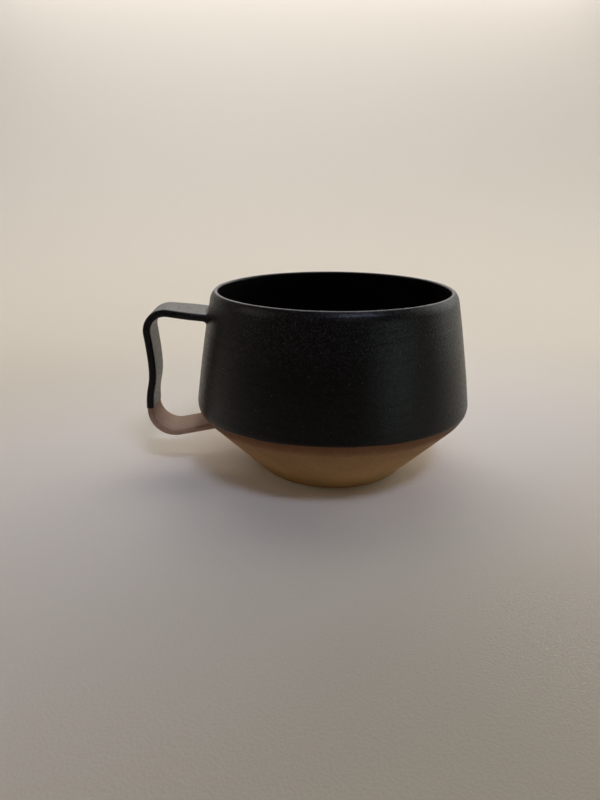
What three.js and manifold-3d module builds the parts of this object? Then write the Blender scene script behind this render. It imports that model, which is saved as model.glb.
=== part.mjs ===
// A wide, low stoneware mug: a thrown body on a flared foot, a flat strap handle held by two
// slip joins, and the coats of black glaze that end at the dip line, with raw clay below it.
//
// Frame: the origin is the centre of the flat foot, +Z runs up the mug's axis and the handle
// points to -X. Lengths are millimetres, and an outline's points are (radius, height).
import * as THREE from 'three';
import { mergeVertices } from 'three/addons/utils/BufferGeometryUtils.js';
import Module from 'manifold-3d';

// ---- Driving dimensions ----

const glazeThickness = 0.25;
const seam = 0.05; // left between a piece and the neighbour that cuts it

// The thrown body, in bare clay.
const mugHeight = 75.5; // over the glazed lip
const footRadius = 31.4;
const footBevel = 0.6;
const widestRadius = 57.25;
const widestHeight = 29.7;
const shoulderRound = 7.05; // radius of the turn from the flared foot to the wall
const lipRadius = 48.65; // mug axis to the top of the lip
const lipRound = 1.15;
const wallBow = 700; // radius of the wall's slight outward swell
const floorThickness = 5.5;
const floorRadius = 26; // flat part of the inside
const floorRound = 12;
const innerWidestRadius = 53.4;
const innerWidestHeight = 32.6;
const innerShoulderRound = 10;

// Where the glaze stops.
const bodyDipHeight = 28.6;
const handleDipHeight = 24.3;

// The strap handle: its section, then its centreline out from the wall, down and back in.
const strapWidth = 17.5;
const strapThickness = 2.3;
const strapEdgeRound = 0.9;
const strapStart = 44; // both ends begin this far from the axis, inside the wall
const topRunHeight = 64.3;
const topRunRise = THREE.MathUtils.degToRad(6.5);
const topRunEnd = 67.6;
const upperBendRadius = 7.7;
const gripLean = THREE.MathUtils.degToRad(6.2); // the grip starts leaning in by this much
const gripEnd = new THREE.Vector2(77.2, 25.4);
const gripUpperPull = 0.79; // the grip curve's two handles, as shares of its length
const gripLowerPull = 0.45;
const lowerBendRadius = 10.1;
const bottomRunRise = THREE.MathUtils.degToRad(10.2);

// The slip joins: how far each spreads from the strap on to the wall.
const joinEnd = 54.5; // both stubs end this far from the axis, clear of the wall
const upperJoinReach = 2.0;
const lowerJoinReach = 1.5;

// Fineness of the faceted solids.
const turns = 48;
const roundSteps = 3;
const strapSteps = 40;
const joinSteps = 14;
const edgeSteps = 2;

const up = Math.PI / 2;
const wasm = await Module();
wasm.setup();

// ---- Outlines of the turned pieces ----

// A round is a circle that an outline follows for a while. The outline's normal angle says
// where on the circle it is, and a negative radius is a round that the outline curves back on.
const footEdge = { r: footRadius, z: 0, radius: 0 };
const shoulder = { r: widestRadius - shoulderRound, z: widestHeight, radius: shoulderRound };
const lip = { r: lipRadius, z: mugHeight - glazeThickness - lipRound, radius: lipRound };
const wall = bowedRound(shoulder, lip, wallBow);
const innerLip = { ...lip, radius: -lipRound };
const innerShoulder = {
  r: innerWidestRadius - innerShoulderRound,
  z: innerWidestHeight,
  radius: innerShoulderRound,
};
const floorCorner = { r: floorRadius, z: floorThickness + floorRound, radius: floorRound };

const flareAngle = tangentAngle(footEdge, shoulder);
const dipAngle = Math.asin((bodyDipHeight - shoulder.z) / shoulder.radius);
const wallStartAngle = Math.atan2(shoulder.z - wall.z, shoulder.r - wall.r);
const wallEndAngle = Math.atan2(lip.z - wall.z, lip.r - wall.r);
const innerWallAngle = tangentAngle(innerShoulder, innerLip);
const innerFlareAngle = tangentAngle(floorCorner, innerShoulder);

// Normal angle of the straight line that touches round a and then round b.
function tangentAngle(a, b) {
  const run = b.r - a.r;
  const rise = b.z - a.z;
  const share = (a.radius - b.radius) / Math.hypot(run, rise);
  return Math.atan2(rise, run) - Math.acos(share);
}

// The large round that holds rounds a and b inside it and touches both.
function bowedRound(a, b, radius) {
  const toA = radius - a.radius;
  const toB = radius - b.radius;
  const run = b.r - a.r;
  const rise = b.z - a.z;
  const apart = Math.hypot(run, rise);
  const along = (toA ** 2 - toB ** 2 + apart ** 2) / (2 * apart);
  const across = Math.sqrt(toA ** 2 - along ** 2);
  return {
    r: a.r + (run * along - rise * across) / apart,
    z: a.z + (rise * along + run * across) / apart,
    radius,
  };
}

// Points along a round, `offset` outside it, from one normal angle to another.
function roundPoints(round, offset, start, end) {
  const signedRadius = round.radius + offset;
  const radius = Math.abs(signedRadius);
  const turn = signedRadius < 0 ? Math.PI : 0;
  const clockwise = end < start;
  const arc = new THREE.EllipseCurve(
    round.r, round.z, radius, radius, start + turn, end + turn, clockwise,
  );
  return arc.getPoints(roundSteps);
}

// The bare foot, from the axis out to the dip line.
function lowerOutline() {
  return [
    new THREE.Vector2(0, 0),
    new THREE.Vector2(footRadius - footBevel, 0),
    new THREE.Vector2(
      footRadius + footBevel * Math.cos(flareAngle + up),
      footBevel * Math.sin(flareAngle + up),
    ),
    ...roundPoints(shoulder, 0, flareAngle, dipAngle),
  ];
}

// The outside from the dip line to the top of the lip.
function upperOutline(offset) {
  return [
    ...roundPoints(shoulder, offset, dipAngle, wallStartAngle),
    ...roundPoints(wall, offset, wallStartAngle, wallEndAngle).slice(1),
    ...roundPoints(lip, offset, wallEndAngle, up).slice(1),
  ];
}

// The hollow from the middle of the floor to the top of the lip. `thickness` is that of the
// coat that lies on the clay.
function innerOutline(thickness) {
  return [
    new THREE.Vector2(0, floorThickness + thickness),
    ...roundPoints(floorCorner, -thickness, -up, innerFlareAngle),
    ...roundPoints(innerShoulder, -thickness, innerFlareAngle, innerWallAngle),
    ...roundPoints(innerLip, -thickness, innerWallAngle, -up),
  ];
}

function turned(outline) {
  const apart = outline.filter((point, i) => i === 0 || point.distanceTo(outline[i - 1]) > 1e-6);
  return new THREE.LatheGeometry(apart, turns).rotateX(up);
}

function bodyGeometry() {
  return turned([...lowerOutline(), ...upperOutline(0), ...innerOutline(0).reverse()]);
}

function linerGlazeGeometry() {
  return turned([...innerOutline(0), ...innerOutline(glazeThickness).reverse()]);
}

function outerCoatGeometry() {
  const claySide = upperOutline(0);
  const airSide = upperOutline(glazeThickness);
  return turned([...airSide, ...claySide.reverse(), airSide[0].clone()]);
}

// The body's outer form as one lump, grown by `offset`, to cut what meets the wall.
function bodyLump(offset) {
  return turned([
    new THREE.Vector2(0, -offset),
    new THREE.Vector2(footRadius + offset, -offset),
    ...roundPoints(shoulder, offset, flareAngle, dipAngle),
    ...upperOutline(offset),
    new THREE.Vector2(0, lip.z + lip.radius + offset),
  ]);
}

// ---- The handle ----

// The strap's centreline, as a flat path of (distance from the axis, height).
function strapPath() {
  const path = new THREE.Path();
  path.moveTo(strapStart, topRunHeight);
  path.lineTo(topRunEnd, topRunHeight + (topRunEnd - strapStart) * Math.tan(topRunRise));
  const bendX = path.currentPoint.x + upperBendRadius * Math.sin(topRunRise);
  const bendZ = path.currentPoint.y - upperBendRadius * Math.cos(topRunRise);
  path.absarc(bendX, bendZ, upperBendRadius, up + topRunRise, -gripLean, true);
  const gripStart = path.currentPoint.clone();
  const gripLength = gripStart.distanceTo(gripEnd);
  path.bezierCurveTo(
    gripStart.x - gripUpperPull * gripLength * Math.sin(gripLean),
    gripStart.y - gripUpperPull * gripLength * Math.cos(gripLean),
    gripEnd.x,
    gripEnd.y + gripLowerPull * gripLength,
    gripEnd.x,
    gripEnd.y,
  );
  path.absarc(
    gripEnd.x - lowerBendRadius, gripEnd.y, lowerBendRadius, 0, -up - bottomRunRise, true,
  );
  const { x, y } = path.currentPoint;
  path.lineTo(strapStart, y + (x - strapStart) * Math.tan(bottomRunRise));
  return path;
}

// A flat path stood up in the X-Z plane, on the -X side of the mug.
class StandingPath extends THREE.Curve {
  constructor(flatPath) {
    super();
    this.flatPath = flatPath;
  }

  getPoint(t, target = new THREE.Vector3()) {
    const point = this.flatPath.getPoint(t);
    return target.set(-point.x, 0, point.y);
  }
}

// A rectangle with rounded edges: the strap's section, grown by `offset` all round.
function strapSection(offset) {
  const x = strapWidth / 2 - strapEdgeRound;
  const y = strapThickness / 2 - strapEdgeRound;
  const radius = strapEdgeRound + offset;
  const section = new THREE.Shape();
  section.absarc(x, y, radius, 0, up);
  section.absarc(-x, y, radius, up, 2 * up);
  section.absarc(-x, -y, radius, 2 * up, 3 * up);
  section.absarc(x, -y, radius, 3 * up, 4 * up);
  return section;
}

function strapSweep(offset) {
  return new THREE.ExtrudeGeometry(strapSection(offset), {
    curveSegments: edgeSteps,
    steps: strapSteps,
    extrudePath: new StandingPath(strapPath()),
  });
}

// Distance of a point of the handle from the body's bare clay.
function distanceFromBody({ x, y, z }) {
  const r = Math.hypot(x, y);
  const fromFlare = (r - footRadius) * Math.cos(flareAngle) + z * Math.sin(flareAngle);
  const fromWall = Math.hypot(r - wall.r, z - wall.z) - wall.radius;
  return Math.max(fromFlare, fromWall);
}

// A slip join: a stub of the strap whose sides sweep out in a quarter circle on to the wall.
// `flatEnd` and `flatStub` are (distance from the axis, height) inside and outside the wall.
function joinStub(flatEnd, flatStub, reach, offset) {
  const end = new THREE.Vector3(-flatEnd.x, 0, flatEnd.y);
  const along = new THREE.Vector3(-flatStub.x, 0, flatStub.y).sub(end);
  const geometry = new THREE.ExtrudeGeometry(strapSection(offset), {
    curveSegments: edgeSteps,
    steps: joinSteps,
    depth: along.length(),
    bevelEnabled: false,
  });
  along.normalize();
  const across = new THREE.Vector3(0, 1, 0);
  const through = new THREE.Vector3().crossVectors(along, across);
  const frame = new THREE.Matrix4().makeBasis(across, through, along).setPosition(end);
  const coreX = strapWidth / 2 - strapEdgeRound;
  const coreY = strapThickness / 2 - strapEdgeRound;
  const { position } = geometry.attributes;
  for (let i = 0; i < position.count; i += 1) {
    const point = new THREE.Vector3().fromBufferAttribute(position, i);
    const outwards = new THREE.Vector3(
      point.x - THREE.MathUtils.clamp(point.x, -coreX, coreX),
      point.y - THREE.MathUtils.clamp(point.y, -coreY, coreY),
      0,
    ).normalize();
    const away = distanceFromBody(point.clone().applyMatrix4(frame));
    const left = THREE.MathUtils.clamp(reach - away, 0, reach);
    point.addScaledVector(outwards, reach - Math.sqrt(reach ** 2 - left ** 2));
    point.applyMatrix4(frame);
    position.setXYZ(i, point.x, point.y, point.z);
  }
  return geometry;
}

function upperJoinStub(offset) {
  const topRun = strapPath().curves[0];
  const share = (joinEnd - strapStart) / (topRunEnd - strapStart);
  return joinStub(topRun.v1, topRun.getPoint(share), upperJoinReach, offset);
}

function lowerJoinStub(offset) {
  const bottomRun = strapPath().curves.at(-1);
  const share = (joinEnd - strapStart) / (bottomRun.v1.x - strapStart);
  return joinStub(bottomRun.v2, bottomRun.getPoint(1 - share), lowerJoinReach, offset);
}

// A block that holds everything of the handle below its dip line.
function belowHandleDip() {
  const size = 4 * gripEnd.x;
  return new THREE.BoxGeometry(size, size, size).translate(0, 0, handleDipHeight - size / 2);
}

// ---- Joining and cutting ----

// A geometry as a solid: only positions, shared vertices merged, no collapsed triangles.
function asSolid(geometry) {
  const bare = new THREE.BufferGeometry();
  bare.setAttribute('position', geometry.attributes.position);
  bare.setIndex(geometry.index);
  const merged = mergeVertices(bare, 1e-4);
  const corners = merged.index.array;
  const kept = [];
  for (let i = 0; i < corners.length; i += 3) {
    const [a, b, c] = corners.subarray(i, i + 3);
    if (a !== b && b !== c && c !== a) {
      kept.push(a, b, c);
    }
  }
  return new wasm.Manifold(new wasm.Mesh({
    numProp: 3,
    vertProperties: merged.attributes.position.array,
    triVerts: Uint32Array.from(kept),
  }));
}

function asGeometry(solid) {
  const { vertProperties, triVerts } = solid.getMesh();
  const geometry = new THREE.BufferGeometry();
  geometry.setAttribute('position', new THREE.BufferAttribute(vertProperties, 3));
  geometry.setIndex(new THREE.BufferAttribute(triVerts, 1));
  geometry.computeVertexNormals();
  return geometry;
}

// One geometry with others cut away from it.
function cutBy(geometry, ...cutters) {
  const rest = cutters.reduce((solid, cutter) => solid.subtract(asSolid(cutter)), asSolid(geometry));
  return asGeometry(rest);
}

// ---- Pieces ----

function strapGeometry() {
  return cutBy(strapSweep(0), bodyLump(seam));
}

function upperJoinGeometry() {
  return cutBy(upperJoinStub(0), strapSweep(seam), bodyLump(seam));
}

function lowerJoinGeometry() {
  return cutBy(lowerJoinStub(0), strapSweep(seam), bodyLump(seam));
}

function outerGlazeGeometry() {
  return cutBy(outerCoatGeometry(), upperJoinStub(glazeThickness + seam));
}

function handleGlazeGeometry() {
  const coated = asSolid(strapSweep(glazeThickness)).add(asSolid(upperJoinStub(glazeThickness)));
  return cutBy(
    asGeometry(coated), strapSweep(seam), upperJoinStub(seam), bodyLump(seam), belowHandleDip(),
  );
}

function clay(color) {
  return new THREE.MeshStandardMaterial({ color, roughness: 0.9, metalness: 0 });
}

function glaze(color) {
  return new THREE.MeshStandardMaterial({ color, roughness: 0.42, metalness: 0 });
}

function piece(name, geometry, material) {
  const mesh = new THREE.Mesh(geometry, material);
  mesh.name = name;
  return mesh;
}

const mug = new THREE.Group();
mug.add(
  piece('thrown_body', bodyGeometry(), clay('#a5825a')),
  piece('strap_handle', strapGeometry(), clay('#9c7d66')),
  piece('upper_join', upperJoinGeometry(), clay('#9c7d66')),
  piece('lower_join', lowerJoinGeometry(), clay('#9c7d66')),
  piece('liner_glaze', linerGlazeGeometry(), glaze('#110f0f')),
  piece('outer_glaze', outerGlazeGeometry(), glaze('#161616')),
  piece('handle_glaze', handleGlazeGeometry(), glaze('#161616')),
);

export default mug;
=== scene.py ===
"""The looks of a wide, low stoneware mug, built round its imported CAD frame.

Every length is in metres, in the frame of the CAD: the origin is the centre of the foot's flat
underside, +Z runs up the mug's axis and the handle points to -X. The CAD's turned and swept
solids are faceted, so each one is replaced here by a fine mesh that follows its outline.
"""
import math

import bpy
from mathutils import Matrix, Vector, noise


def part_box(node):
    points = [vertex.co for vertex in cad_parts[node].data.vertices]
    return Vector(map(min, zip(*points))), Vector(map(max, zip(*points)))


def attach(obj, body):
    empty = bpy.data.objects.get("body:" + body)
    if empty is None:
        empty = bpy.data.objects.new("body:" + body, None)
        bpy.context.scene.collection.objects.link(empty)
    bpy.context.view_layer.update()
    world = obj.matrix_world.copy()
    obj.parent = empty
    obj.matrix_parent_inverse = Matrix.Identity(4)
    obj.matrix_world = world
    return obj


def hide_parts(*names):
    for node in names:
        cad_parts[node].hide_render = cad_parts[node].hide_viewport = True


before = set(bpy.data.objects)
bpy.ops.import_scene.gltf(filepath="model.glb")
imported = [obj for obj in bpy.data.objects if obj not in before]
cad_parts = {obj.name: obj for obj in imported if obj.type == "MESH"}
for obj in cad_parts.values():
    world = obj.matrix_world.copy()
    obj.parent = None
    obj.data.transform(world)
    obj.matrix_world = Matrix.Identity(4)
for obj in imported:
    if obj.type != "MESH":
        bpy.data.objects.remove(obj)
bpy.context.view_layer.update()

MM = 0.001
UP = math.pi / 2

# ---- Sizes ----
# The outermost ones come from the frame. The rest are the CAD's, with a finer lip and strap.

GLAZE = 0.25 * MM
SUNK = 0.05 * MM  # how far a coat's hidden side lies inside the clay
SKIN = 0.005 * MM  # the meshes stay this far inside the CAD's box

_, coat_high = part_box("outer_glaze")
handle_low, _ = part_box("handle_glaze")
WIDEST_RADIUS = min(coat_high.x, coat_high.y) - SKIN - GLAZE
LIP_TOP = coat_high.z - SKIN

FOOT_RADIUS = 31.4 * MM
FOOT_ROUND = 0.7 * MM
FOOT_RING = 5 * MM  # width of the ring that the mug stands on
FOOT_HOLLOW = 0.5 * MM  # depth trimmed away inside that ring
SHOULDER_ROUND = 7.05 * MM
SHOULDER_HEIGHT = 29.7 * MM
WALL_BOW = 700 * MM
LIP_RADIUS = 48.2 * MM  # to the middle of the crest
LIP_ROUND = 0.6 * MM
BROW_ROUND = 5.5 * MM  # the wall turns in on this before the crest
BROW_END = math.radians(48)  # how far up the surface faces where the crest begins
FLOOR_THICKNESS = 5.5 * MM
FLOOR_RADIUS = 26 * MM
FLOOR_ROUND = 12 * MM
INNER_RADIUS = 53.4 * MM
INNER_HEIGHT = 32.6 * MM
INNER_ROUND = 10 * MM

STRAP_WIDTH = 17.5 * MM
STRAP_THICKNESS = 2.5 * MM
STRAP_EDGE_ROUND = 0.9 * MM
TOP_RUN_START = (50.4 * MM, 64.95 * MM)  # (distance from the axis, height), inside the wall
TOP_RUN_RISE = math.radians(6.5)
TOP_RUN_END = 67.5 * MM
TOP_RUN_WIDENING = 0.18  # how much wider it gets on its way to the wall
WIDENS_FROM = 70 * MM  # distance from the axis, on the upper bend
WIDENED_BY = 58 * MM  # from there to the wall it stays as wide
UPPER_BEND = 7.7 * MM
GRIP_LEAN = math.radians(6.2)
GRIP_END = (-handle_low.x - SKIN - GLAZE - STRAP_THICKNESS / 2, 25.4 * MM)
GRIP_PULLS = (0.79, 0.45)  # the grip curve's two handles, as shares of its length
LOWER_BEND = 10.0 * MM
BOTTOM_RUN_RISE = math.radians(10.2)
BOTTOM_RUN_END = 46.5 * MM  # from the axis, inside the wall
UPPER_JOIN_REACH = 2.0 * MM  # how far the joins spread on to the wall
LOWER_JOIN_REACH = 1.5 * MM
FREE_OF_WALL = 57 * MM  # from the axis; the upper join starts from the first row beyond it

# Where the glaze stops: the mug was tilted as it was dipped, so the line runs lower at the back.
DIP_FRONT = 29.45 * MM
DIP_BACK = 23.0 * MM
HANDLE_DIP = 26.1 * MM
HANDLE_DIP_TILT = 0.06  # fall of that line for each unit further back
DIP_CURVE = 1.36  # above 1, the line stays low for more of the way round the back
EDGE_WIDTH = 0.55 * MM  # over which a coat swells from its edge to its full thickness
LINER_LEVEL = 10 * MM  # the liner has no edge, so all of it counts as this far above one

# The spiral ridges that the thrower's fingers left.
COARSE_PITCH = 3.4 * MM
COARSE_DEPTH = 0.009 * MM
FINE_PITCH = 1.3 * MM
FINE_DEPTH = 0.004 * MM

# Fineness of the meshes.
AROUND = 256  # points round each turned row
STRAP_STEP = 0.6 * MM  # between the rows of the strap
ON_AXIS = 0.001 * MM  # a row nearer the axis than this is a single point
CREASE = math.radians(60)  # an edge sharper than this isn't shaded as smooth


# ---- Rounds and turned outlines ----


class Round:
    """A circle that an outline follows for a while, in (distance from the axis, height).

    The outline's normal angle says where on the circle it is. A negative radius is a round
    that the outline curves back on.
    """

    def __init__(self, across, height, radius):
        self.across = across
        self.height = height
        self.radius = radius

    def at(self, angle, offset=0.0):
        reach = self.radius + offset
        return (self.across + reach * math.cos(angle), self.height + reach * math.sin(angle))


def tangent_angle(a, b):
    """Normal angle of the straight line that touches round a and then round b."""
    run = b.across - a.across
    rise = b.height - a.height
    share = (a.radius - b.radius) / math.hypot(run, rise)
    return math.atan2(rise, run) - math.acos(share)


def bowed_round(a, b, radius):
    """The large round that holds rounds a and b inside it and touches both."""
    to_a = radius - a.radius
    to_b = radius - b.radius
    run = b.across - a.across
    rise = b.height - a.height
    apart = math.hypot(run, rise)
    along = (to_a**2 - to_b**2 + apart**2) / (2 * apart)
    off = math.sqrt(to_a**2 - along**2)
    return Round(
        a.across + (run * along - rise * off) / apart,
        a.height + (rise * along + run * off) / apart,
        radius,
    )


def spread(start, end, count):
    """`count` steps from start to end, both included."""
    return [start + (end - start) * i / count for i in range(count + 1)]


foot_edge = Round(FOOT_RADIUS, 0.0, 0.0)
shoulder = Round(WIDEST_RADIUS - SHOULDER_ROUND, SHOULDER_HEIGHT, SHOULDER_ROUND)
lip = Round(LIP_RADIUS, LIP_TOP - GLAZE - LIP_ROUND, LIP_ROUND)
brow = Round(*lip.at(BROW_END, -BROW_ROUND), BROW_ROUND)
wall = bowed_round(shoulder, brow, WALL_BOW)
inner_lip = Round(lip.across, lip.height, -LIP_ROUND)
inner_shoulder = Round(INNER_RADIUS - INNER_ROUND, INNER_HEIGHT, INNER_ROUND)
floor_corner = Round(FLOOR_RADIUS, FLOOR_THICKNESS + FLOOR_ROUND, FLOOR_ROUND)

flare_angle = tangent_angle(foot_edge, shoulder)
wall_start = math.atan2(shoulder.height - wall.height, shoulder.across - wall.across)
wall_end = math.atan2(brow.height - wall.height, brow.across - wall.across)
inner_wall_angle = tangent_angle(inner_shoulder, inner_lip)
inner_flare_angle = tangent_angle(floor_corner, inner_shoulder)


def throwing_marks(height, turn):
    """How far the thrower's spiral ridges dip into the surface, at `turn` round the axis."""
    share = turn / (2 * math.pi)
    coarse = math.sin(2 * math.pi * (height / COARSE_PITCH + share))
    fine = math.sin(2 * math.pi * (height / FINE_PITCH - share))
    return COARSE_DEPTH * (1 + coarse) + FINE_DEPTH * (1 + fine)


def body_dip(turn):
    """Height of the glaze's edge on the body. The turn is 0 at +X and a quarter at +Y."""
    frontness = (1 - math.sin(turn)) / 2
    place = Vector((math.cos(turn), math.sin(turn), 0.0))
    slow_waver = noise.noise(place * 3.1) * 0.35 * MM
    quick_waver = noise.noise(place * 11) * 0.12 * MM
    level = DIP_BACK + (DIP_FRONT - DIP_BACK) * frontness**DIP_CURVE
    return level + slow_waver + quick_waver


def standing(point, turn):
    """A point of an outline stood in space at `turn` round the axis."""
    across, height = point
    return Vector((across * math.cos(turn), across * math.sin(turn), height))


def turns():
    return [2 * math.pi * i / AROUND for i in range(AROUND)]


def turned(outline):
    """Rows of points from an outline of ((across, height), share) turned round the axis.

    The throwing marks dent each row by its share of their depth.
    """
    rows = []
    for (across, height), share in outline:
        if across < ON_AXIS:
            rows.append([Vector((0.0, 0.0, height))])
            continue
        row = []
        for turn in turns():
            dent = throwing_marks(height, turn) * share
            row.append(standing((across - dent, height), turn))
        rows.append(row)
    return rows


def along_line(start, end, count):
    return [
        (start[0] + (end[0] - start[0]) * t, start[1] + (end[1] - start[1]) * t)
        for t in spread(0.0, 1.0, count)
    ]


def along_round(shape, offset, start, end, count):
    return [shape.at(angle, offset) for angle in spread(start, end, count)]


def marked(points, share):
    """The points of an outline, each with the share of the throwing marks that it takes."""
    return [(point, share) for point in points]


def underside_outline():
    """The flat ring that the mug stands on and the shallow trimmed hollow inside it."""
    ring = FOOT_RADIUS - FOOT_RING
    slope = 1.2 * MM
    groove_depth = 0.04 * MM
    groove_width = 0.35 * MM
    radii = spread(0.0, ring - slope, 24)
    trimmed = [(r, FOOT_HOLLOW + groove_depth * math.sin(r / groove_width)) for r in radii]
    return [*trimmed, (ring, 0.0)]


def foot_outline():
    """The foot's rounded outer edge and the flare up to the shoulder."""
    flat_end = FOOT_RADIUS - FOOT_ROUND * math.tan((UP + flare_angle) / 2)
    edge = Round(flat_end, FOOT_ROUND, FOOT_ROUND)
    edge_points = along_round(edge, 0.0, -UP, flare_angle, 10)
    flare_points = along_line(edge_points[-1], shoulder.at(flare_angle), 44)
    return edge_points + flare_points[1:-1]


def inner_outline(thickness, fine):
    """The hollow from the middle of the floor to the top of the lip.

    `thickness` is that of the coat over the clay, and `fine` multiplies the number of points.
    """
    floor = FLOOR_THICKNESS + thickness
    points = along_line((0.0, floor), (FLOOR_RADIUS, floor), 8 * fine)
    points += along_round(floor_corner, -thickness, -UP, inner_flare_angle, 6 * fine)[1:]
    flare_end = inner_shoulder.at(inner_flare_angle, -thickness)
    points += along_line(points[-1], flare_end, 8 * fine)[1:]
    points += along_round(
        inner_shoulder, -thickness, inner_flare_angle, inner_wall_angle, 8 * fine
    )[1:]
    lip_start = inner_lip.at(inner_wall_angle, -thickness)
    points += along_line(points[-1], lip_start, 14 * fine)[1:]
    points += along_round(inner_lip, -thickness, inner_wall_angle, -UP, 8 * fine)[1:]
    return points


def body_rows():
    """The bare body: underside, foot, outside, lip and hollow."""
    outer = along_round(shoulder, 0.0, flare_angle, wall_start, 44)
    outer += along_round(wall, 0.0, wall_start, wall_end, 30)[1:]
    outer += along_round(brow, 0.0, wall_end, BROW_END, 6)[1:]
    outer += along_round(lip, 0.0, BROW_END, UP, 5)[1:]
    inner = inner_outline(0.0, 1)[::-1][1:]
    return turned(
        marked(underside_outline(), 0.0)
        + marked(foot_outline(), 1.0)
        + marked(outer, 1.0)
        + marked(inner, 0.0)
    )


def liner_rows():
    """The inner coat: its air side from the floor up to the lip, then its clay side back."""
    air_side = inner_outline(GLAZE, 3)
    clay_side = inner_outline(-SUNK, 1)[::-1]
    return turned(marked(air_side, 1.0) + marked(clay_side, 0.0))


def outside(along, offset):
    """A point `along` the bare body's outside, upwards from where its flare meets its shoulder."""
    if along > 0:
        return shoulder.at(flare_angle + along / SHOULDER_ROUND, offset)
    across, height = shoulder.at(flare_angle, offset)
    return (across - along * math.sin(flare_angle), height + along * math.cos(flare_angle))


def along_outside(height):
    """How far along the bare body's outside a height below the wall is."""
    rise = height - shoulder.at(flare_angle)[1]
    if rise < 0:
        return rise / math.cos(flare_angle)
    return SHOULDER_ROUND * (math.asin((height - shoulder.height) / SHOULDER_ROUND) - flare_angle)


def coat_rows():
    """The outer coat: its air side from the dip line up to the lip, then its clay side back."""
    shoulder_top = SHOULDER_ROUND * (wall_start - flare_angle)
    columns = []
    for turn in turns():
        dip = along_outside(body_dip(turn))
        places = [dip + EDGE_WIDTH * (1 - math.cos(a)) for a in spread(0.0, UP, 8)]
        places += spread(dip + EDGE_WIDTH, shoulder_top, 30)[1:]
        air = []
        for place in places:
            short = max(0.0, 1 - (place - dip) / EDGE_WIDTH)
            thickness = GLAZE * math.sqrt(1 - short**2)
            air.append(outside(place, thickness - SUNK * (1 - thickness / GLAZE)))
        air += along_round(wall, GLAZE, wall_start, wall_end, 90)[1:]
        air += along_round(brow, GLAZE, wall_end, BROW_END, 16)[1:]
        air += along_round(lip, GLAZE, BROW_END, UP, 10)[1:]
        clay = [outside(place, -SUNK) for place in spread(dip, shoulder_top, 16)[1:]]
        clay += along_round(wall, -SUNK, wall_start, wall_end, 20)[1:]
        clay += along_round(brow, -SUNK, wall_end, BROW_END, 6)[1:]
        clay += along_round(lip, -SUNK, BROW_END, UP, 5)[1:]
        outline = air + clay[::-1]
        columns.append(
            [standing((r - throwing_marks(z, turn), z), turn) for r, z in outline]
        )
    return [list(row) for row in zip(*columns)]


# ---- The handle ----


def strap_spans():
    """The strap's centreline as functions of 0 to 1, each with its length.

    Each function gives (distance from the axis, height) and the direction of travel.
    """
    start = TOP_RUN_START
    rise = math.tan(TOP_RUN_RISE)
    top_end = (TOP_RUN_END, start[1] + (TOP_RUN_END - start[0]) * rise)
    upper = Round(
        top_end[0] + UPPER_BEND * math.sin(TOP_RUN_RISE),
        top_end[1] - UPPER_BEND * math.cos(TOP_RUN_RISE),
        UPPER_BEND,
    )
    lower = Round(GRIP_END[0] - LOWER_BEND, GRIP_END[1], LOWER_BEND)
    grip_start = upper.at(-GRIP_LEAN)
    grip_length = math.dist(grip_start, GRIP_END)
    pulled = (
        grip_start,
        (
            grip_start[0] - GRIP_PULLS[0] * grip_length * math.sin(GRIP_LEAN),
            grip_start[1] - GRIP_PULLS[0] * grip_length * math.cos(GRIP_LEAN),
        ),
        (GRIP_END[0], GRIP_END[1] + GRIP_PULLS[1] * grip_length),
        GRIP_END,
    )
    bottom_start = lower.at(-UP - BOTTOM_RUN_RISE)
    fall = (bottom_start[0] - BOTTOM_RUN_END) * math.tan(BOTTOM_RUN_RISE)
    bottom_end = (BOTTOM_RUN_END, bottom_start[1] + fall)
    return [
        line_span(start, top_end),
        arc_span(upper, UP + TOP_RUN_RISE, -GRIP_LEAN),
        bezier_span(pulled, grip_length),
        arc_span(lower, 0.0, -UP - BOTTOM_RUN_RISE),
        line_span(bottom_start, bottom_end),
    ]


def line_span(start, end):
    """A straight span."""
    length = math.dist(start, end)
    way = ((end[0] - start[0]) / length, (end[1] - start[1]) / length)
    return lambda t: ((start[0] + way[0] * length * t, start[1] + way[1] * length * t), way), length


def arc_span(shape, start, end):
    """A clockwise arc from one normal angle to another."""

    def at(t):
        angle = start + (end - start) * t
        return shape.at(angle), (math.sin(angle), -math.cos(angle))

    return at, shape.radius * (start - end)


def bezier_span(points, length):
    """A cubic Bezier curve of about that length through its two ends."""

    def at(t):
        s = 1 - t
        weights = (s**3, 3 * s * s * t, 3 * s * t * t, t**3)
        slopes = (-3 * s * s, 3 * s * s - 6 * s * t, 6 * s * t - 3 * t * t, 3 * t * t)
        place = [sum(w * p[i] for w, p in zip(weights, points)) for i in (0, 1)]
        way = [sum(w * p[i] for w, p in zip(slopes, points)) for i in (0, 1)]
        size = math.hypot(*way)
        return tuple(place), (way[0] / size, way[1] / size)

    return at, length


def strap_stations(step):
    """(place, direction) all along the centreline, about `step` apart."""
    stations = []
    for at, length in strap_spans():
        count = max(2, round(length / step))
        span = [at(t) for t in spread(0.0, 1.0, count)]
        stations += span[1:] if stations else span
    return stations


def strap_section(offset):
    """Points round the strap's section, as (across the width, through the thickness, normal)."""
    half_width = STRAP_WIDTH / 2 - STRAP_EDGE_ROUND
    half_thickness = STRAP_THICKNESS / 2 - STRAP_EDGE_ROUND
    radius = STRAP_EDGE_ROUND + offset
    section = []
    corners = ((1, 1), (-1, 1), (-1, -1), (1, -1))
    for quarter, (side, face) in enumerate(corners):
        for angle in spread(quarter * UP, (quarter + 1) * UP, 7):
            normal = (math.cos(angle), math.sin(angle))
            across = side * half_width + radius * normal[0]
            through = face * half_thickness + radius * normal[1]
            section.append((across, through, normal))
        if side == face:
            section += flat_points(section[-1], half_width, 11)
    return section


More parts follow.
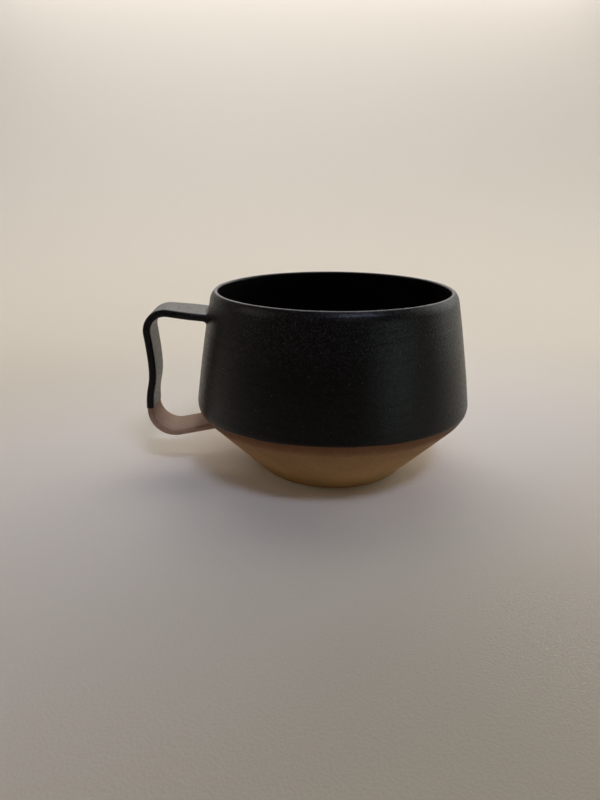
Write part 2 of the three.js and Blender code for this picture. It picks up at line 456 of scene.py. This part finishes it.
def flat_points(corner, half_width, count):
    """Points inside a broad face, from a corner's end to the opposite corner's start."""
    side = math.copysign(1, corner[0])
    return [
        (side * half_width * (1 - 2 * t), corner[1], corner[2])
        for t in spread(0.0, 1.0, count)[1:-1]
    ]


def body_radius(height):
    """The bare body's radius at a height of its outside above the foot."""
    if height >= shoulder.at(wall_start)[1]:
        return wall.across + math.sqrt(WALL_BOW**2 - (height - wall.height) ** 2)
    if height >= shoulder.at(flare_angle)[1]:
        return shoulder.across + math.sqrt(SHOULDER_ROUND**2 - (height - shoulder.height) ** 2)
    return FOOT_RADIUS - height * math.tan(flare_angle)


def to_wall(point, way, depth):
    """How far `point` has to go along `way`, towards the mug, to be `depth` inside the wall."""
    low = -10 * MM
    high = 30 * MM
    halvings = 40
    for _ in range(halvings):
        middle = (low + high) / 2
        there = point + way * middle
        if math.hypot(there.x, there.y) > body_radius(there.z) - depth:
            low = middle
        else:
            high = middle
    return (low + high) / 2


def widening(distance, height):
    """How many times its plain width the strap is: the top run spreads towards the wall."""
    if height < TOP_RUN_START[1]:
        return 1.0
    nearness = (WIDENS_FROM - distance) / (WIDENS_FROM - WIDENED_BY)
    nearness = min(max(nearness, 0.0), 1.0)
    return 1 + TOP_RUN_WIDENING * nearness**2 * (3 - 2 * nearness)


def strap_point(station, across, through):
    """A point of the strap's section in space, at a station of its centreline."""
    (distance, height), (way_out, way_up) = station
    across *= widening(distance, height)
    return Vector((-(distance - through * way_up), across, height + through * way_out))


def slab_rows(stations, offset):
    """Closed rows round the strap at each station."""
    return [
        [strap_point(station, across, through) for across, through, _ in strap_section(offset)]
        for station in stations
    ]


def fillet_rows(station, towards, reach, offset, sink):
    """Rows that leave the strap and sweep out in a quarter circle on to the body's wall.

    The last row ends `sink` deep inside the wall.
    """
    rows = []
    for angle in spread(0.0, UP, 10):
        swell = reach * (1 - math.cos(angle))
        back = reach * (1 - math.sin(angle))
        row = []
        for across, through, normal in strap_section(offset):
            start = strap_point(station, across + swell * normal[0], through + swell * normal[1])
            row.append(start + towards * (to_wall(start, towards, sink) - back))
        rows.append(row)
    return rows


# ---- Meshes ----


def loft(rows, wrapped=False):
    """Vertices and faces through rows of points. A row of one point is a pole.

    When `wrapped`, the last row joins on to the first.
    """
    points = []
    starts = []
    for row in rows:
        starts.append(len(points))
        points.extend(row)

    def index(row, i):
        return starts[row] + (i if len(rows[row]) > 1 else 0)

    faces = []
    pairs = [(row, row + 1) for row in range(len(rows) - 1)]
    if wrapped:
        pairs.append((len(rows) - 1, 0))
    for a, b in pairs:
        count = max(len(rows[a]), len(rows[b]))
        for i in range(count):
            j = (i + 1) % count
            corners = (index(a, i), index(a, j), index(b, j), index(b, i))
            faces.append(tuple(dict.fromkeys(corners)))
    return points, faces


def capped(rows):
    """The rows with a pole in the middle of each end, so that the loft is closed."""
    first = sum(rows[0], Vector()) / len(rows[0])
    last = sum(rows[-1], Vector()) / len(rows[-1])
    return [[first], *rows, [last]]


def make_piece(name, rows, material, nodes, above_dip, wrapped=False):
    """One visual piece lofted through rows, in place of the CAD's nodes.

    `above_dip` gives each point's height above its glaze's edge, which the materials read.
    """
    points, faces = loft(rows, wrapped)
    mesh = bpy.data.meshes.new(name)
    mesh.from_pydata(points, [], faces)
    mesh.validate()
    attribute = mesh.attributes.new("above_dip", "FLOAT", "POINT")
    attribute.data.foreach_set("value", [above_dip(p) for p in points])
    mesh.polygons.foreach_set("use_smooth", [True] * len(mesh.polygons))
    if signed_volume(mesh) < 0:
        mesh.flip_normals()
    mesh.set_sharp_from_angle(angle=CREASE)
    mesh.materials.append(material)
    piece = bpy.data.objects.new(name, mesh)
    bpy.context.scene.collection.objects.link(piece)
    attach(piece, "root")
    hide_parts(*nodes)


def signed_volume(mesh):
    """Six times the mesh's volume, below 0 if its faces look inwards."""
    total = 0.0
    points = mesh.vertices
    for face in mesh.polygons:
        corners = [points[i].co for i in face.vertices]
        for b, c in zip(corners[1:], corners[2:]):
            total += corners[0].dot(b.cross(c))
    return total


# ---- Materials ----


class Nodes:
    """A short way to add nodes to a material and link them."""

    def __init__(self, name):
        self.material = bpy.data.materials.new(name)
        self.material.use_nodes = True
        self.tree = self.material.node_tree
        self.shader = self.tree.nodes["Principled BSDF"]

    def add(self, kind, settings=None, **inputs):
        node = self.tree.nodes.new(kind)
        for key, value in (settings or {}).items():
            setattr(node, key, value)
        for key, value in inputs.items():
            self.put(node.inputs[key.replace("_", " ")], value)
        return node

    def put(self, socket, value):
        if isinstance(value, bpy.types.NodeSocket):
            self.tree.links.new(value, socket)
        else:
            socket.default_value = value

    def place(self, stretch=(1, 1, 1)):
        """Object coordinates in metres, stretched along each axis."""
        coordinates = self.add("ShaderNodeTexCoord").outputs["Object"]
        if stretch == (1, 1, 1):
            return coordinates
        return self.add("ShaderNodeMapping", Vector=coordinates, Scale=stretch).outputs[0]

    def grain(self, size, detail=2.0, stretch=(1, 1, 1), rough=0.5):
        """Noise from 0 to 1 whose blobs are about `size` across."""
        node = self.add(
            "ShaderNodeTexNoise",
            Vector=self.place(stretch), Scale=1 / size, Detail=detail, Roughness=rough,
        )
        return node.outputs["Fac"]

    def dots(self, spacing, radius):
        """1 inside scattered round dots and 0 outside them. The radius is a share of the spacing."""
        node = self.add("ShaderNodeTexVoronoi", Vector=self.place(), Scale=1 / spacing)
        return self.ramp(node.outputs["Distance"], (radius, 1.0), (radius * 1.5, 0.0))

    def ramp(self, value, start, end):
        """The value remapped: start and end are (from, to) pairs, clamped outside them."""
        node = self.add("ShaderNodeMapRange", {"interpolation_type": "SMOOTHSTEP"}, Value=value)
        if start[0] <= end[0]:
            low, high = start, end
        else:
            low, high = end, start
        self.put(node.inputs["From Min"], low[0])
        self.put(node.inputs["To Min"], low[1])
        self.put(node.inputs["From Max"], high[0])
        self.put(node.inputs["To Max"], high[1])
        return node.outputs[0]

    def math(self, operation, a, b=0.0):
        node = self.add("ShaderNodeMath", {"operation": operation})
        self.put(node.inputs[0], a)
        self.put(node.inputs[1], b)
        return node.outputs[0]

    def blend(self, share, under, over):
        """One colour over another by `share`."""
        node = self.add("ShaderNodeMix", {"data_type": "RGBA"})
        factor, under_colour, over_colour = (node.inputs[i] for i in (0, 6, 7))
        self.put(factor, share)
        self.put(under_colour, under)
        self.put(over_colour, over)
        return node.outputs[2]

    def bump(self, height, distance, under=None):
        """A normal bent by a height of up to `distance`, on top of the normal `under`."""
        node = self.add("ShaderNodeBump", Height=height, Distance=distance, Strength=1.0)
        if under is not None:
            self.put(node.inputs["Normal"], under)
        return node.outputs[0]

    def above_dip(self):
        """Height above the glaze's edge, in metres, stored on the mesh."""
        return self.add("ShaderNodeAttribute", {"attribute_name": "above_dip"}).outputs["Fac"]

    def height(self):
        """Height above the table, in metres."""
        return self.add("ShaderNodeSeparateXYZ", Vector=self.place()).outputs["Z"]

    def surface(self, **inputs):
        """The finished material, with these inputs on its shader."""
        for key, value in inputs.items():
            self.put(self.shader.inputs[key.replace("_", " ")], value)
        return self.material


def black_glaze(name):
    """A satin black glaze: mottled, dusted with pale specks that are partly painted glints, brown at
    its edge, with a painted grey highlight on the lip.
    """
    nodes = Nodes(name)
    black = (0.0010, 0.0007, 0.0008, 1)
    mottled_black = (0.0018, 0.0018, 0.0018, 1)
    # partly the glaze's own fine speckle, partly painted glints of light off its tiny bumps
    dust_and_glint_grey = (0.030, 0.026, 0.028, 1)
    speck_grey = (0.16, 0.14, 0.12, 1)
    thin_brown = (0.035, 0.014, 0.008, 1)
    # painted highlight: the grey that draws the bright line of light along the lip's crest
    crest_highlight_grey = (0.14, 0.135, 0.13, 1)

    mottle = nodes.ramp(nodes.grain(7 * MM, 3.0), (0.35, 0.0), (0.65, 1.0))
    colour = nodes.blend(mottle, black, mottled_black)

    # Pale grey dust over the black: partly the glaze's own fine speckle and partly painted glints of
    # light off its tiny bumps. The painted glints grow stronger higher up the wall.
    dust_and_glints = nodes.ramp(nodes.grain(0.6 * MM, 3.0, rough=0.7), (0.46, 0.0), (0.68, 1.0))
    painted_glints_higher_up = nodes.ramp(nodes.above_dip(), (20 * MM, 0.35), (36 * MM, 1.0))
    colour = nodes.blend(nodes.math("MULTIPLY", dust_and_glints, painted_glints_higher_up), colour, dust_and_glint_grey)

    rare = nodes.ramp(nodes.grain(5 * MM, 1.0), (0.5, 0.0), (0.6, 1.0))
    specks = nodes.math("MULTIPLY", nodes.dots(2.6 * MM, 0.05), rare)
    colour = nodes.blend(nodes.math("MULTIPLY", specks, 0.7), colour, speck_grey)

    wander = nodes.math("MULTIPLY", nodes.grain(2 * MM), 0.5 * MM)
    from_edge = nodes.math("ADD", nodes.above_dip(), wander)
    thin = nodes.ramp(from_edge, (0.3 * MM, 1.0), (1.3 * MM, 0.0))
    colour = nodes.blend(thin, colour, thin_brown)

    # Painted highlight: the top of the lip is coloured light grey to stand for the bright line that
    # light makes along the crest.
    crest = nodes.ramp(nodes.height(), (LIP_TOP - 0.35 * MM, 0.0), (LIP_TOP - 0.12 * MM, 0.85))
    colour = nodes.blend(crest, colour, crest_highlight_grey)

    roughness = nodes.ramp(nodes.grain(1.2 * MM, 3.0), (0.3, 0.28), (0.7, 0.40))
    skin = nodes.grain(0.75 * MM, 2.0, rough=0.6)
    normal = nodes.bump(skin, 0.12 * MM)
    lines = nodes.grain(1.6 * MM, 2.0, stretch=(0.02, 0.02, 1))
    normal = nodes.bump(lines, 0.10 * MM, under=normal)
    normal = nodes.bump(specks, 0.06 * MM, under=normal)
    return nodes.surface(Base_Color=colour, Roughness=roughness, IOR=1.3, Normal=normal)


def stoneware(name, clay, clay_dark, flash):
    """Bare stoneware: sandy, warm, with a darker, redder flash just under the glaze, and painted
    light that leaves the foot lighter.
    """
    nodes = Nodes(name)
    sand_brown = (0.10, 0.055, 0.03, 1)
    grog_brown = (0.11, 0.06, 0.035, 1)

    cloud = nodes.ramp(nodes.grain(11 * MM, 3.0), (0.3, 0.0), (0.7, 1.0))
    colour = nodes.blend(cloud, clay_dark, clay)

    sand = nodes.ramp(nodes.grain(0.5 * MM, 2.0, rough=0.6), (0.35, 0.0), (0.65, 1.0))
    darker = nodes.blend(0.5, colour, sand_brown)
    colour = nodes.blend(nodes.math("MULTIPLY", sand, 0.6), colour, darker)

    grog = nodes.dots(1.7 * MM, 0.09)
    colour = nodes.blend(nodes.math("MULTIPLY", grog, 0.35), colour, grog_brown)

    uneven = nodes.math("MULTIPLY", nodes.grain(4 * MM, 3.0), 2.4 * MM)
    depth = nodes.math("SUBTRACT", nodes.above_dip(), uneven)
    # The near ramp is the real flash just under the glaze. The far ramp darkens the clay a long way
    # down as well, so that the foot stays lighter. That is partly the flash fading out and partly
    # painted light filling the shade low on the cone.
    near = nodes.ramp(depth, (-10 * MM, 0.0), (-1.8 * MM, 1.0))
    far = nodes.ramp(depth, (-22 * MM, 0.0), (-4 * MM, 0.45))
    flash_and_painted_foot_light = nodes.math("MAXIMUM", near, far)
    colour = nodes.blend(nodes.math("MULTIPLY", flash_and_painted_foot_light, 0.95), colour, flash)

    roughness = nodes.ramp(nodes.grain(0.8 * MM, 2.0), (0.3, 0.68), (0.7, 0.85))
    normal = nodes.bump(nodes.grain(0.3 * MM, 2.0, rough=0.6), 0.03 * MM)
    trimmed = nodes.grain(0.9 * MM, 2.0, stretch=(0.015, 0.015, 1))
    normal = nodes.bump(trimmed, 0.05 * MM, under=normal)
    return nodes.surface(Base_Color=colour, Roughness=roughness, IOR=1.45, Normal=normal)


def pale_cloth(name):
    """The plain pale ground: off-white with a barely visible grain."""
    nodes = Nodes(name)
    fine = nodes.grain(0.8 * MM, 2.0)
    colour = nodes.blend(fine, (0.77, 0.715, 0.64, 1), (0.84, 0.785, 0.71, 1))
    normal = nodes.bump(fine, 0.08 * MM)
    return nodes.surface(Base_Color=colour, Roughness=0.92, Normal=normal)


# ---- Pieces ----


def above_body_dip(point):
    """A point's height above the glaze's edge on the body."""
    return point.z - body_dip(math.atan2(point.y, point.x))


def handle_dip(back):
    """Height of the glaze's edge on the handle, `back` from its middle."""
    waver = 0.25 * MM * math.sin(back / (2.6 * MM))
    return HANDLE_DIP - HANDLE_DIP_TILT * back + waver


def above_handle_dip(point):
    """A point's height above the glaze's edge on the handle."""
    return point.z - handle_dip(point.y)


def above_in_liner(_point):
    """The same for every point of the liner."""
    return LINER_LEVEL


def make_body(clay, glaze):
    make_piece("thrown_body_fine", body_rows(), clay, ["thrown_body"], above_body_dip)
    make_piece(
        "outer_glaze_fine", coat_rows(), glaze, ["outer_glaze"],
        above_body_dip, wrapped=True,
    )
    make_piece(
        "liner_glaze_fine", liner_rows(), glaze, ["liner_glaze"], above_in_liner
    )


def above_edge(stations):
    """The stations from the wall down to the glaze's edge on the handle."""
    first_below = next(s for s in stations if s[0][1] < HANDLE_DIP)
    return stations[: stations.index(first_below)]


def lean_edge(rows):
    """Moves the points near the glaze's edge on the handle so that it ends on its tilted line."""
    eased = 4 * MM
    for point in sum(rows, []):
        nearness = max(0.0, 1 - (point.z - HANDLE_DIP) / eased)
        point.z += nearness * (handle_dip(point.y) - HANDLE_DIP)


def make_handle(clay, glaze):
    stations = strap_stations(STRAP_STEP)
    top_way = Vector((math.cos(TOP_RUN_RISE), 0.0, -math.sin(TOP_RUN_RISE)))
    bottom_way = Vector((math.cos(BOTTOM_RUN_RISE), 0.0, math.sin(BOTTOM_RUN_RISE)))
    make_piece(
        "strap_handle_fine", capped(slab_rows(stations, 0.0)), clay, ["strap_handle"],
        above_handle_dip,
    )
    upper_station = next(s for s in stations if s[0][0] > FREE_OF_WALL)
    for name, station, way, reach, node in (
        ("upper_join_fine", upper_station, top_way, UPPER_JOIN_REACH, "upper_join"),
        ("lower_join_fine", stations[-1], bottom_way, LOWER_JOIN_REACH, "lower_join"),
    ):
        rows = fillet_rows(station, way, reach, 0.0, SUNK)
        make_piece(name, capped(rows), clay, [node], above_handle_dip)

    coated = above_edge(stations)[stations.index(upper_station) :]
    air = fillet_rows(upper_station, top_way, UPPER_JOIN_REACH, GLAZE, -GLAZE + SUNK)[::-1]
    air += slab_rows(coated, GLAZE)
    clay_side = slab_rows(coated, -SUNK)[::-1]
    clay_side += fillet_rows(upper_station, top_way, UPPER_JOIN_REACH, -SUNK, SUNK)
    lean_edge(air + clay_side)
    make_piece(
        "handle_glaze_fine", air + clay_side, glaze, ["handle_glaze"],
        above_handle_dip, wrapped=True,
    )


# ---- Scene ----


def make_ground():
    """A floor that sweeps up into a backdrop. Its outline's points are (y, z)."""
    half_width = 1.8
    front = (-1.5, 0.0)
    bend = Round(across=0.20, height=0.70, radius=0.70)
    top = (bend.across + bend.radius, 1.6)
    outline = [front, *along_round(bend, 0.0, -UP, 0.0, 48), top]
    rows = [[Vector((x, y, z)) for x in (-half_width, half_width)] for y, z in outline]
    points = [p for row in rows for p in row]
    faces = [(2 * i, 2 * i + 1, 2 * i + 3, 2 * i + 2) for i in range(len(rows) - 1)]
    mesh = bpy.data.meshes.new("ground")
    mesh.from_pydata(points, [], faces)
    mesh.polygons.foreach_set("use_smooth", [True] * len(mesh.polygons))
    mesh.materials.append(pale_cloth("pale_cloth"))
    ground = bpy.data.objects.new("ground", mesh)
    bpy.context.scene.collection.objects.link(ground)


def soft_light(name, place, aim, size, power, colour, beam=180):
    """A rectangular light of so many watts, which shines `beam` degrees wide."""
    light = bpy.data.lights.new(name, "AREA")
    light.shape = "RECTANGLE"
    light.size, light.size_y = size
    light.energy = power
    light.color = colour
    light.spread = math.radians(beam)
    lamp = bpy.data.objects.new(name, light)
    lamp.location = place
    lamp.rotation_euler = (Vector(aim) - Vector(place)).to_track_quat("-Z", "Y").to_euler()
    bpy.context.scene.collection.objects.link(lamp)


def make_side_lights():
    """The lights that draw the sheens down the mug's left and right."""
    mug_middle = (0, 0, 0.05)
    soft_light(
        "side_left", (-0.9, -0.1, 0.5), mug_middle,
        size=(0.5, 0.5), power=0.9, colour=(1.0, 0.93, 0.78),
    )
    soft_light(
        "side_right", (0.9, -0.1, 0.5), mug_middle,
        size=(0.5, 0.5), power=0.35, colour=(1.0, 0.92, 0.72),
    )
    soft_light(
        "back_right", (0.9, 0.5, 0.42), mug_middle,
        size=(0.8, 0.8), power=3.8, colour=(0.97, 1.0, 0.97),
    )
    soft_light(
        "right_low", (0.57, -0.53, 0.05), mug_middle,
        size=(0.4, 0.12), power=0.36, colour=(0.78, 1.0, 0.95),
    )


def make_back_lights():
    """The window behind the mug, and what lights the backdrop and the floor before it."""
    soft_light(
        "window", (0, 0.8, 0.5), (0, 0, 0.06),
        size=(1.0, 0.2), power=2.8, colour=(1.0, 0.97, 0.97),
    )
    soft_light(
        "backdrop", (-0.35, 0.3, 0.9), (-0.45, 0.75, 0.1),
        size=(1.3, 0.3), power=0.85, colour=(0.93, 0.97, 1.0), beam=90,
    )
    soft_light(
        "ceiling", (0, 0.3, 0.7), (0, 0.25, 0),
        size=(1.2, 0.3), power=0.55, colour=(1.0, 0.95, 0.87), beam=80,
    )


def make_brow_light():
    """The narrow cool light that glints along the turn of the wall below the lip."""
    soft_light(
        "high_front", (0.15, -0.37, 0.62), (0, -0.03, 0.07),
        size=(0.4, 0.14), power=0.06, colour=(0.65, 0.73, 1.0), beam=22,
    )


def make_room():
    """The dim, warm light that comes from everywhere else."""
    world = bpy.data.worlds.new("room")
    world.use_nodes = True
    background = world.node_tree.nodes["Background"]
    background.inputs["Color"].default_value = (0.07, 0.059, 0.047, 1)
    background.inputs["Strength"].default_value = 1.0
    bpy.context.scene.world = world


def make_camera():
    """A phone's view, from in front and above."""
    pan = math.radians(-2.14)
    tilt = math.radians(90 - 19.82)
    roll = 0.00226
    data = bpy.data.cameras.new("camera")
    data.lens = 27.16
    data.sensor_width = 36
    data.clip_start = 0.01
    camera = bpy.data.objects.new("camera", data)
    camera.location = (-23.03 * MM, -248.29 * MM, 116.17 * MM)
    aimed = Matrix.Rotation(pan, 4, "Z") @ Matrix.Rotation(tilt, 4, "X")
    camera.rotation_euler = (aimed @ Matrix.Rotation(roll, 4, "Z")).to_euler()
    bpy.context.scene.collection.objects.link(camera)
    bpy.context.scene.camera = camera


# ---- The whole scene ----

bpy.context.scene.view_settings.view_transform = "Standard"
glaze = black_glaze("black_glaze")
foot_clay = stoneware(
    "foot_clay",
    clay=(0.53, 0.295, 0.105, 1),
    clay_dark=(0.45, 0.25, 0.09, 1),
    flash=(0.15, 0.055, 0.02, 1),
)
handle_clay = stoneware(
    "handle_clay",
    clay=(0.52, 0.335, 0.225, 1),
    clay_dark=(0.44, 0.275, 0.185, 1),
    flash=(0.28, 0.155, 0.10, 1),
)
make_body(foot_clay, glaze)
make_handle(handle_clay, glaze)
make_ground()
make_side_lights()
make_back_lights()
make_brow_light()
make_room()
make_camera()
